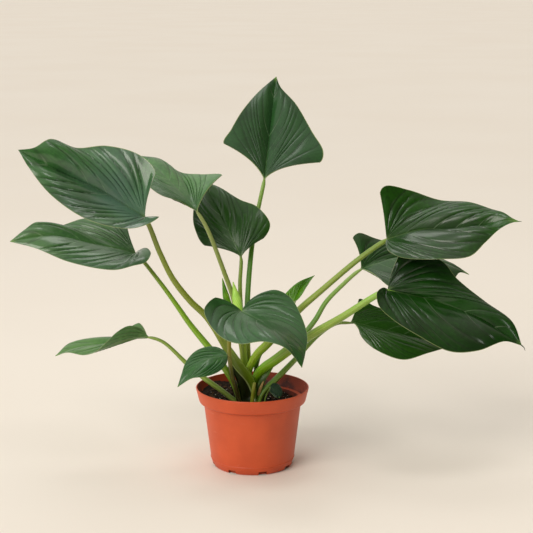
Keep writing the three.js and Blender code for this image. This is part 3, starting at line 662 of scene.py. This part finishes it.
def stalkMaterial(name, colours, footReach=stalkForm["footReach"], margins=None):
    # fleshy green with lengthwise ribs; its foot's colour changes to its middle's within footReach, and
    # margins are the colours of a sheath's two edges; with them come painted shade inside the sheath and at
    # its foot
    made, place, marks = startMaterial(name, {
        "Specular IOR Level": 0.4, "Coat Weight": 0.2, "Coat Roughness": 0.22})
    share = marks.part(0)
    around = marks.part(1)
    foot, middle, top = colours
    lengthwise = place.add("ShaderNodeCombineXYZ", inputs={0: share * 5, 1: around * 30})
    streaks = lengthwise.clouds(1.0, 3)
    flecks = place.clouds(420, 2)
    green = layered(
        share.ramp(*footReach).blend(foot, middle),
        (share.ramp(0.6, 0.95), top),
        (streaks.ramp(0.52, 0.72) * 0.35, "b4bb62"),
        (streaks.ramp(0.48, 0.28) * 0.35, "3c4f14"),
        (flecks.ramp(0.62, 0.72) * 0.2, "b9c27a"))
    if margins:
        # the open side runs from -0.25 on its left to 0.25; a slanted line across its left part is painted
        # as the edge of a folded-in wing, with painted shade on its left
        aside = (around + 0.5).reckon("FRACT", around + 0.5) - 0.5
        fold = aside + share * 1.1 - 0.135
        within = share.ramp(0.26, 0.22) * aside.ramp(-0.3, -0.27) * aside.ramp(0.27, 0.26)
        green = layered(
            green,
            # painted shade: inside the sheath left of the slanted line, then at the sheath's foot
            (fold.ramp(0.0, -0.02) * within * 0.95, "141c08"),  # the dark inside
            (share.ramp(0.1, 0.02) * 0.5, "1c2a08"),
            (abs(fold).ramp(0.016, 0.008) * within, margins[0]),
            (abs(aside - 0.24).ramp(0.03, 0.02) * share.ramp(0.22, 0.18), margins[1]))
    else:
        flank = abs(abs(around * 4 - 2) - 1)
        green = layered(green, (flank.ramp(0.07, 0.0) * 0.45, "b4bb62"))
    height = around.stripes(22) * 0.5 + flecks * 0.3 + streaks
    return finishMaterial(made, green, 0.32 + flecks * 0.14, height, (0.3, 0.0006))


def spikeMaterial():
    made, place, _ = startMaterial("drip_tip", {"Roughness": 0.5})
    tone = place.clouds(300, 2).ramp(0.35, 0.65).blend("8fae55", "c3c98a")
    return finishMaterial(made, tone)


dripTip = spikeMaterial()

for leafName, leaf in leaves.items():
    materials = [bladeTopMaterial("blade_top_" + leafName, leaf),
                 bladeUnderMaterial("blade_under_" + leafName), dripTip]
    blade = bladeShape(leaf)
    makePiece("leaf_" + leafName, blade, materials, ["blade_" + leafName])
    # the stalk's last stretch runs along under the midrib
    rows, columns = bladeForm["rows"] + 1, 2 * bladeForm["columns"] + 1
    under = blade["points"][rows * columns:2 * rows * columns].reshape(rows, columns, 3)
    top = blade["points"][:rows * columns].reshape(rows, columns, 3)
    clasp, middle = int(stalkForm["clasp"] * rows), columns // 2
    rise = stalkForm["claspRise"]
    end = under[clasp, middle] * (1 - rise) + top[clasp, middle] * rise
    approach = unit(np.array(leaf["route"][-1], float) - under[0, middle])
    start = under[0, middle] + approach * stalkForm["standOff"]
    route = [*leaf["route"], tuple(start), tuple(end)]
    length = sum(math.dist(p, q) for p, q in zip(route, route[1:]))
    stalk = tube(route, leaf["radii"], leaf.get("back", leaf["at"]), flatness=stalkForm["flatness"],
                 channel=leaf.get("channel", stalkForm["channel"]), channelEnd=stalkForm["channelEnd"],
                 taper=1 - stalkForm["taperSpans"] * math.dist(start, end) / length)
    finish = stalkMaterial("stalk_" + leafName, leaf["stalk"],
                           leaf.get("footReach", stalkForm["footReach"]), leaf.get("margins"))
    makePiece("petiole_" + leafName, stalk, [finish], ["stalk_" + leafName])
print("leaves made:", len(leaves))


# Leaves still rolled up: a spindle from the stem to the point
rolledLeaves = {
    "rolled_leaf_left": {
        "outward": (-41, 45),
        "route": [(-3, 6, 112), (-10, 20, 150), (-22, 34, 188), (-34, 42, 215), (-41, 45, 247)],
        "radii": [2.6, 2.4, 2.2, 2.6, 5, 4.6, 0.5], "shade": "3a7a08", "bright": "6c9e1c",
    },
    "rolled_leaf_front": {
        "outward": (-26, -22),
        "route": [(-4, 6, 112), (-11, 14, 150), (-15, 14, 185), (-18, 15, 208), (-26, 22, 247)],
        "radii": [3, 2.8, 2.6, 3.2, 6, 6, 0.5], "shade": "84c434", "bright": "b8e668",
    },
}


def rolledMaterial(name, roll):
    # bright young green, with the paler edge of the leaf winding up the roll
    made, place, marks = startMaterial(name, {
        "Specular IOR Level": 0.3, "Coat Weight": 0.1, "Coat Roughness": 0.2})
    wind = (marks.part(1) + marks.part(0) * 1.2).stripes(1)
    fine = (marks.part(1) + marks.part(0) * 1.2).stripes(14)
    green = layered(
        place.clouds(60, 3).ramp(0.35, 0.65).blend(roll["shade"], roll["bright"]),
        (fine.ramp(0.5, 1.0) * 0.3, "3a7a10"),
        (wind.ramp(0.93, 0.99) * 0.6, "a8cc5c"))
    return finishMaterial(made, green, 0.32 + place.clouds(90, 2) * 0.1, fine + wind * 2, (0.3, 0.0005))


for rollName, roll in rolledLeaves.items():
    spear = tube(roll["route"], roll["radii"], roll["outward"], sides=32)
    makePiece(rollName.replace("rolled_leaf", "spear"), spear, [rolledMaterial(rollName, roll)],
              [rollName])


def dryMaterial():
    made, place, marks = startMaterial("dry_scale", {"Specular IOR Level": 0.2})
    lengthwise = place.add("ShaderNodeCombineXYZ", inputs={0: marks.part(0) * 4, 1: marks.part(1) * 50})
    fibres = lengthwise.clouds(1.0, 3)
    brown = fibres.ramp(0.35, 0.65).blend("9c7c40", "cdb078")
    return finishMaterial(made, brown, 0.75 + place.clouds(200) * 0.1, fibres, (0.5, 0.0006))


# What else stands at the foot: the stub of a cut leaf, a dry scale and a green sheath scale
footScraps = {
    "cut_stalk": {
        "piece": "cut_petiole", "slot": "leaf_stalk", "outward": (0, -1), "flatness": 0.78,
        "route": [(-1, -25, 78), (0, -26, 98), (3, -26, 120)], "radii": [2.6, 2.5, 2.3],
        "finish": stalkMaterial("cut_stalk", ("6f7710", "8a9422", "a4ab4a")),
    },
    "dry_scale": {
        "piece": "papery_scale", "slot": "dry_scale", "outward": (0, 1), "flatness": 0.4,
        "route": [(8, -16, 100), (11, -18, 110), (15, -18, 120)], "radii": [1.6, 2.2, 1.8, 0.6],
        "finish": dryMaterial(),
    },
    "bract": {
        "piece": "green_bract", "slot": "leaf_stalk", "outward": (1, 5), "flatness": 0.45,
        "route": [(8, -9, 88), (10, -10, 106), (14, -10, 120), (22, -8, 130), (29, -4, 138)],
        "radii": [4.4, 4.6, 4.4, 3, 0.6],
        "finish": stalkMaterial("bract", ("2f4f1a", "35591c", "6f9a3a")),
    },
}
for nodeName, scrap in footScraps.items():
    shape = tube(scrap["route"], scrap["radii"], scrap["outward"], flatness=scrap["flatness"])
    makePiece(scrap["piece"], shape, [scrap["finish"]], [nodeName])


def lathe(profile, sides):
    # a body turned round the pot's axis from points of radius and height
    turn = np.linspace(0, 2 * math.pi, sides + 1)
    radius, height = np.array(profile, float).T[:, :, None]
    points = np.stack(np.broadcast_arrays(radius * np.cos(turn), radius * np.sin(turn), height), -1)
    share = np.linspace(0, 1, len(profile))[:, None]
    marks = np.stack(np.broadcast_arrays(share, turn[None] / (2 * math.pi)), -1)
    return skin(points, marks)


def stemMaterial():
    made, place, _ = startMaterial("stem_bark", {"Specular IOR Level": 0.3})
    rings = (place.part(2) * 160 + place.clouds(30) * 1.5).stripes(1)
    brown = place.clouds(90, 3).ramp(0.35, 0.65).blend("4a4420", "6f6a34")
    brown = (rings.ramp(0.8, 1.0) * 0.6).blend(brown, "2b2413")
    rough = 0.65 + place.clouds(120) * 0.15
    return finishMaterial(made, brown, rough, rings + place.clouds(200), (0.5, 0.001))


# "rings" is how fast the leaf scars follow each other, and "swell" how far they stand out
stemForm = {
    "heights": [70, 72, 82, 94, 102, 109, 112], "radii": [0, 8, 10, 10, 8, 4, 0], "place": (-3, 1, 0),
    "rings": 0.55, "swell": 0.05, "rows": 43, "sides": 40,
}
stemHeights = np.linspace(stemForm["heights"][0], stemForm["heights"][-1], stemForm["rows"])
stemWidths = np.interp(stemHeights, stemForm["heights"], stemForm["radii"])
stemWidths = stemWidths * (1 + stemForm["swell"] * np.abs(np.sin(stemHeights * stemForm["rings"])))
stem = lathe(np.stack([stemWidths, stemHeights], -1), stemForm["sides"])
stem["points"] = stem["points"] + stemForm["place"]
makePiece("crown_stem", stem, [stemMaterial()], ["stem"])
print("shoots and stem made")


potForm = {
    "height": 108, "rimRadius": 76, "collarFoot": 90, "collarFootRadius": 72, "bodyTopRadius": 65.6,
    "bodyFootRadius": 56, "baseRadius": 52, "wall": 1.8, "floor": 3, "innerFootRadius": 53, "sides": 192,
    "sharpAngle": 38,
}
# The notches, in metres
drainForm = {
    "Count": 8, "Width": 0.011, "Height": 0.005, "Depth": 0.014, "Radius": 0.055,
    "First angle": math.radians(-75),
}


def potProfile():
    form = potForm
    height, foot, rim, wall = form["height"], form["collarFoot"], form["rimRadius"], form["wall"]
    base, low, high = form["baseRadius"], form["bodyFootRadius"], form["bodyTopRadius"]
    collar = form["collarFootRadius"]
    bodySteps = [(low + 0.4 + (high - low - 0.4) * i / 8, 12 + (foot - 15.5) * i / 8) for i in range(1, 9)]
    collarSteps = [(collar + (rim - collar) * i / 4, foot + 0.6 + (height - foot - 1.6) * i / 4)
                   for i in range(1, 5)]
    outside = [
        (0, 0), (base - 0.8, 0), (base - 0.2, 0.3), (base + 1.6, 1.8),  # the bottom, with its rounded edge
        (low - 0.5, 8), (low, 9), (low + 0.2, 10.6),
        (low + 0.9, 11.2), (low + 0.8, 11.6), (low + 0.4, 12),  # the fine moulded line
        *bodySteps,
        (high + 1.4, foot - 3.0), (collar - 1.6, foot - 1.1),
        (collar - 0.5, foot - 0.5), (collar, foot + 0.6),
        *collarSteps,
        (rim - 0.15, height - 0.4), (rim - 0.6, height),
    ]
    inner = high - wall
    inside = [
        (rim - wall + 0.4, height), (rim - wall + 0.1, height - 0.3), (rim - wall, height - 1),
        (collar - wall, foot + 1.6), (collar - wall - 0.5, foot + 0.9),
        (inner + 0.6, foot + 0.6), (inner, foot - 1),  # the ledge under the collar
        (form["innerFootRadius"], form["floor"]), (0, form["floor"]),
    ]
    return [*outside, *inside]


def openTree(tree, inputs):
    # gives a geometry tree its named inputs, and returns a wire from each
    for label, kind in inputs.items():
        tree.interface.new_socket(label, in_out="INPUT", socket_type="NodeSocket" + kind)
    tree.interface.new_socket("Result", in_out="OUTPUT", socket_type="NodeSocketGeometry")
    inlet = tree.nodes.new("NodeGroupInput")
    return {socket.name: Wire(tree, socket) for socket in inlet.outputs if socket.name}


def closeTree(tree, shape, finish):
    # ends a geometry tree: its instances made real, with their material
    whole = shape.add("GeometryNodeRealizeInstances", inputs={"Geometry": shape})
    done = whole.add("GeometryNodeSetMaterial", inputs={"Geometry": whole, "Material": finish})
    outlet = tree.nodes.new("NodeGroupOutput")
    tree.links.new(done.socket, outlet.inputs[0])
    return tree


def drainTree():
    # cuts a row of notches round the foot of the pot
    tree = bpy.data.node_groups.new("drain_notches", "GeometryNodeTree")
    given = openTree(tree, {
        "Pot": "Geometry", "Count": "Int", "Width": "Float", "Height": "Float", "Depth": "Float",
        "Radius": "Float", "First angle": "Float", "Finish": "Material"})
    ring = given["Pot"].add("GeometryNodeMeshCircle", inputs={
        "Vertices": given["Count"], "Radius": given["Radius"]})
    start = given["First angle"]
    size = start.add("ShaderNodeCombineXYZ", inputs={
        0: given["Depth"], 1: given["Width"], 2: given["Height"] * 2})
    cutter = start.add("GeometryNodeMeshCube", inputs={"Size": size})
    number = start.add("GeometryNodeInputIndex")
    turn = start.add("ShaderNodeCombineXYZ", inputs={2: number * (2 * math.pi) / given["Count"]})
    cutters = ring.add("GeometryNodeInstanceOnPoints", inputs={
        "Points": ring, "Instance": cutter, "Rotation": turn})
    cutters = cutters.add("GeometryNodeRealizeInstances", inputs={"Geometry": cutters})
    spin = start.add("ShaderNodeCombineXYZ", inputs={2: start})
    cutters = cutters.add("GeometryNodeTransform", inputs={"Geometry": cutters, "Rotation": spin})
    cut = given["Pot"].add("GeometryNodeMeshBoolean", {"operation": "DIFFERENCE"}, {
        "Mesh 1": given["Pot"], "Mesh 2": cutters})
    return closeTree(tree, cut, given["Finish"])


def grown(source, tree, values):
    # a plain mesh of what the tree makes from a source object, which is then taken away
    modifier = source.modifiers.new("grow", "NODES")
    modifier.node_group = tree
    for item in tree.interface.items_tree:
        if item.in_out == "INPUT" and item.name in values:
            modifier[item.identifier] = values[item.name]
    graph = bpy.context.evaluated_depsgraph_get()
    mesh = bpy.data.meshes.new_from_object(source.evaluated_get(graph))
    source.modifiers.remove(modifier)
    bpy.data.objects.remove(source)
    return mesh


def potMaterial():
    # terracotta-coloured plastic: inside, painted darker as painted shade and blotched darker still towards
    # the bottom, with soil crumbs and scuffs; scratches and dust outside
    made, place, _ = startMaterial("pot_plastic", {
        "Specular IOR Level": 0.45, "Coat Weight": 0.1, "Coat Roughness": 0.35})
    facing = place.add("ShaderNodeNewGeometry", output="Normal")
    inside = (place * (1.0, 1.0, 0.0)).dot(facing).ramp(0.0, -0.01)
    height = place.part(2)
    mottle = place.clouds(26, 3)
    dust = place.clouds(120, 4, 0.7)
    scratch = (place * (30.0, 30.0, 240.0)).clouds(1.0, 3)
    orange = layered(
        mottle.ramp(0.3, 0.7).blend("c24c22", "ce5428"),
        (dust.ramp(0.62, 0.75) * 0.2, "d98a62"),
        (scratch.ramp(0.72, 0.78) * 0.25, "e8b397"))
    lowDarkening = (place.clouds(45, 4, 0.6) + (0.1 - height) * 12).ramp(0.45, 0.75)
    crumbs = place.clouds(230, 3, 0.7)
    scuffs = (place * (90.0, 90.0, 160.0)).clouds(1.0, 4, 0.7)
    # painted shade: the inside is a darker copy of the orange, in blotches darker towards the bottom
    lining = layered(
        lowDarkening.blend("963410", "44170a"),
        (crumbs.ramp(0.6, 0.68) * lowDarkening * 0.9, "1d120c"),
        (scuffs.ramp(0.64, 0.74) * 0.6, "c8876a"))
    colour = inside.blend(orange, lining)
    rough = 0.42 + mottle * 0.1 + inside * 0.2 + dust * 0.08
    return finishMaterial(made, colour, rough, place.clouds(900, 2) + scratch * 2, (0.12, 0.0004))


potPlastic = potMaterial()
blank = newObject("pot_blank", bodyMesh("pot_blank", lathe(potProfile(), potForm["sides"])))
potMesh = grown(blank, drainTree(), {**drainForm, "Finish": potPlastic})
potMesh.name = "nursery_pot"
for polygon in potMesh.polygons:
    polygon.use_smooth = True
potMesh.set_sharp_from_angle(angle=math.radians(potForm["sharpAngle"]))
addPiece("nursery_pot", potMesh, [potPlastic], ["pot"])
print("pot made:", len(potMesh.polygons), "faces")


# "wallHeights" and "wallRadii" follow the pot's inside, just clear of it, and "bottom" is the soil's foot
soilForm = {
    "height": 87, "slopeX": -0.12, "slopeY": 0.11, "rings": 70, "sides": 180, "roughness": 2.2,
    "wallHeights": [3.4, 88.5, 90, 92, 107], "wallRadii": [52.2, 63.4, 64.2, 69.6, 73.4],
    "bottom": [(78, 61.6), (3.6, 52.2), (3.6, 0)], "wallGap": 0.6, "rimRadius": 64.0,
    "guesses": 3, "mound": 5, "moundSpread": 500, "lumps": 1.6, "smallLumps": 0.9, "crumbSize": 5,
}


def soilTop(x, y):
    form = soilForm
    lumps = form["lumps"] * math.sin(x / 9 + 1) * math.cos(y / 8)
    lumps += form["smallLumps"] * math.sin(x / 4 - y / 5)
    mound = form["mound"] * math.exp(-(x * x + y * y) / form["moundSpread"])
    spot = Vector((x / form["crumbSize"], y / form["crumbSize"], 3))
    crumb = noise.fractal(spot, 0.9, 2.1, 4) * form["roughness"]
    level = form["height"] + form["slopeX"] * x + form["slopeY"] * y
    return level + lumps + mound + crumb * 0.5


def ringAngles(sides):
    # the angles round a circle, whose last is the first again
    return [angle % (2 * math.pi) for angle in np.linspace(0, 2 * math.pi, sides + 1)]


def onSoil(radius, angle):
    x, y = radius * math.cos(angle), radius * math.sin(angle)
    return x, y, soilTop(x, y)


def soilRim(angle):
    # how far out the soil meets the pot: the height at each guess tells where the wall is
    rim = soilForm["rimRadius"]
    for _ in range(soilForm["guesses"]):
        height = onSoil(rim, angle)[2] - soilForm["wallGap"]
        rim = float(np.interp(height, soilForm["wallHeights"], soilForm["wallRadii"]))
    return rim


def soilShape():
    turn = ringAngles(soilForm["sides"])
    edge = [soilRim(angle) for angle in turn]
    shares = [ring / soilForm["rings"] for ring in range(soilForm["rings"] + 1)]
    rings = [[onSoil(rim * share, angle) for angle, rim in zip(turn, edge)] for share in shares]
    for height, radius in soilForm["bottom"]:
        rings.append([(radius * math.cos(angle), radius * math.sin(angle), height) for angle in turn])
    points = np.array(rings)
    return skin(points, points[..., :2] / 100)


def soilMaterial():
    made, place, _ = startMaterial("potting_soil", {"Specular IOR Level": 0.25})
    crumb = place.clouds(340, 4, 0.65)
    brown = crumb.ramp(0.35, 0.7).blend("0e0a07", "35251a")
    brown = place.clouds(900, 2).ramp(0.66, 0.72).blend(brown, "5a4430")
    return finishMaterial(made, brown, 0.85 + place.clouds(60) * 0.1, crumb, (0.9, 0.002))


soilDark = soilMaterial()
makePiece("potting_soil", soilShape(), [soilDark], ["soil"], sharp=80)


def grainTree():
    # strews irregular grains over a surface
    tree = bpy.data.node_groups.new("strewn_grains", "GeometryNodeTree")
    given = openTree(tree, {
        "Ground": "Geometry", "Spacing": "Float", "Density": "Float", "Smallest": "Float",
        "Largest": "Float", "Stretch": "Float", "Sink": "Float", "Seed": "Int", "Finish": "Material"})
    ground, seed = given["Ground"], given["Seed"]
    points = ground.add("GeometryNodeDistributePointsOnFaces", {"distribute_method": "POISSON"}, {
        "Mesh": ground, "Distance Min": given["Spacing"], "Density Max": given["Density"], "Seed": seed})
    grain = ground.add("GeometryNodeMeshIcoSphere", inputs={"Radius": 1.0, "Subdivisions": 2})
    spot = ground.add("GeometryNodeInputPosition")
    push = (spot.clouds(1.1, 1) - 0.5) * 1.5
    shift = spot * spot.add("ShaderNodeCombineXYZ", inputs={0: push, 1: push, 2: push})
    grain = grain.add("GeometryNodeSetPosition", inputs={"Geometry": grain, "Offset": shift})
    size = ground.add("FunctionNodeRandomValue", inputs={
        2: given["Smallest"], 3: given["Largest"], 8: seed}, output=1)
    slim = size * ground.add("FunctionNodeRandomValue", inputs={2: 0.45, 3: 0.9, 8: seed + 1}, output=1)
    scale = ground.add("ShaderNodeCombineXYZ", inputs={0: size * given["Stretch"], 1: slim, 2: slim})
    spin = ground.add("FunctionNodeRandomValue", {"data_type": "FLOAT_VECTOR"}, {
        0: (-0.5, -0.5, 0.0), 1: (0.5, 0.5, 6.28), 8: seed + 2})
    drop = ground.add("ShaderNodeCombineXYZ", inputs={2: size * given["Sink"]})
    points = points.add("GeometryNodeSetPosition", inputs={"Geometry": points, "Offset": drop})
    grains = points.add("GeometryNodeInstanceOnPoints", inputs={
        "Points": points, "Instance": grain, "Rotation": spin, "Scale": scale})
    return closeTree(tree, grains, given["Finish"])


def grainMaterial(name, dark, light):
    made, place, _ = startMaterial(name, {"Specular IOR Level": 0.25})
    tone = place.clouds(260, 3, 0.6)
    colour = tone.ramp(0.35, 0.65).blend(dark, light)
    rough = 0.8 + place.clouds(90) * 0.1
    return finishMaterial(made, colour, rough, place.clouds(1500, 3), (0.5, 0.0006))


# The part of the soil that the grains are strewn on
patchForm = {"radius": 61.0, "rings": 30, "sides": 72}


def groundPatch():
    # an open sheet along the soil's top
    rings = [[onSoil(radius, angle) for angle in ringAngles(patchForm["sides"])]
             for radius in np.linspace(0, patchForm["radius"], patchForm["rings"])]
    sheet = bpy.data.meshes.new("ground")
    points = np.array(rings).reshape(-1, 3) * mm
    faces = gridFaces(patchForm["rings"], patchForm["sides"] + 1)
    sheet.from_pydata(points.tolist(), [], faces[:, ::-1].tolist())
    return newObject("ground", sheet)


# What lies on the soil, in metres and grains per square metre
strewn = {
    "soil_crumbs": {
        "Spacing": 0.0012, "Density": 220000.0, "Smallest": 0.0005, "Largest": 0.0017, "Stretch": 1.2,
        "Sink": 0.2, "Seed": 4, "tones": ("0b0705", "3a291c"),
    },
    "bark_chips": {
        "Spacing": 0.004, "Density": 26000.0, "Smallest": 0.0010, "Largest": 0.0024, "Stretch": 2.2,
        "Sink": 0.4, "Seed": 11, "tones": ("1e120a", "5a4028"),
    },
    "perlite_grains": {
        "Spacing": 0.0045, "Density": 9000.0, "Smallest": 0.0004, "Largest": 0.0014, "Stretch": 1.1,
        "Sink": 0.7, "Seed": 23, "tones": ("c9bfae", "f2ecdf"),
    },
}
grains = grainTree()
for strewnName, look in strewn.items():
    finish = grainMaterial(strewnName, *look["tones"])
    values = {key: value for key, value in look.items() if key != "tones"}
    mesh = grown(groundPatch(), grains, {**values, "Finish": finish})
    mesh.name = strewnName
    addPiece(strewnName, mesh, [finish])
    print(strewnName, len(mesh.polygons), "faces")


def floorMaterial():
    made, place, _ = startMaterial("paper_floor", {"Specular IOR Level": 0.1})
    cream = place.clouds(1.2, 2).ramp(0.2, 0.8).blend("f1ebe2", "efe8de")
    return finishMaterial(made, cream, 0.9)


floorMesh = bpy.data.meshes.new("floor")
reach = 60  # metres from the middle to each edge
corners = [(-reach, -reach, 0), (reach, -reach, 0), (reach, reach, 0), (-reach, reach, 0)]
floorMesh.from_pydata(corners, [], [(0, 1, 2, 3)])
floorMesh.materials.append(floorMaterial())
newObject("floor", floorMesh)

# A sky that is bright towards "side" and dim away from it, and a key light; angles are in degrees
studio = {
    "side": (-0.6, 0.3, 0.74), "fade": (-0.3, 0.9), "bright": 0.93, "dim": 0.07, "tint": "fffcf6",
    "shade": "f5dec2",
    "keyTurn": -144, "keyHeight": 33, "key": 1.6, "keyTint": "fffaf2", "keySpread": 36,
}
# The soft boxes whose light the leaves' coats mirror: where each stands, what it faces, watts and width
lamps = {
    "ceiling": {"place": (-0.2, 0.4, 1.7), "target": (-0.15, 0, 0.2), "energy": 2.2, "size": 0.5},
    "overhead": {"place": (0.15, -0.6, 1.7), "target": (0.2, 0, 0.3), "energy": 1.4, "size": 0.3},
    "front": {"place": (1.1, -1.85, 1.2), "target": (0.2, 0, 0.3), "energy": 2, "size": 0.3},
    "window": {"place": (-2.4, 0.9, 1.5), "target": (-0.9, 0.6, 0), "energy": 2.5, "size": 1.0},
}
lampTint = "fffdfa"
sky = bpy.data.worlds.new("studio")
sky.use_nodes = True
glow = Wire(sky.node_tree)
side = glow.add("ShaderNodeTexCoord", output="Generated").dot(studio["side"]).ramp(*studio["fade"])
background = sky.node_tree.nodes["Background"]
plug(sky.node_tree, background.inputs["Color"], side.blend(studio["shade"], studio["tint"]))
strength = side * (studio["bright"] - studio["dim"]) + studio["dim"]
plug(sky.node_tree, background.inputs["Strength"], strength)
bpy.context.scene.world = sky


def addLight(name, kind, place, target, energy, colour, **settings):
    # a light turned to face its target
    lamp = bpy.data.lights.new(name, kind)
    lamp.energy = energy
    lamp.color = paint(colour)[:3]
    for key, value in settings.items():
        setattr(lamp, key, value)
    made = newObject(name, lamp)
    made.location = place
    made.rotation_euler = (Vector(target) - Vector(place)).to_track_quat("-Z", "Y").to_euler()


turn, rise = math.radians(studio["keyTurn"]), math.radians(studio["keyHeight"])
keyPlace = (math.sin(turn) * math.cos(rise), math.cos(turn) * math.cos(rise), math.sin(rise))
addLight("key", "SUN", keyPlace, (0, 0, 0), studio["key"], studio["keyTint"],
         angle=math.radians(studio["keySpread"]))
for lampName, lamp in lamps.items():
    addLight(lampName, "AREA", lamp["place"], lamp["target"], lamp["energy"], lampTint, size=lamp["size"])

view = {"lens": 99.9, "sensor": 36, "place": (0.019, -1.922, 0.660), "tilt": 78.6}
camera = bpy.data.cameras.new("camera")
camera.lens = view["lens"]
camera.sensor_width = view["sensor"]
eye = newObject("camera", camera)
eye.location = view["place"]
eye.rotation_euler = (math.radians(view["tilt"]), 0, 0)
bpy.context.scene.camera = eye
bpy.context.scene.view_settings.view_transform = "Standard"
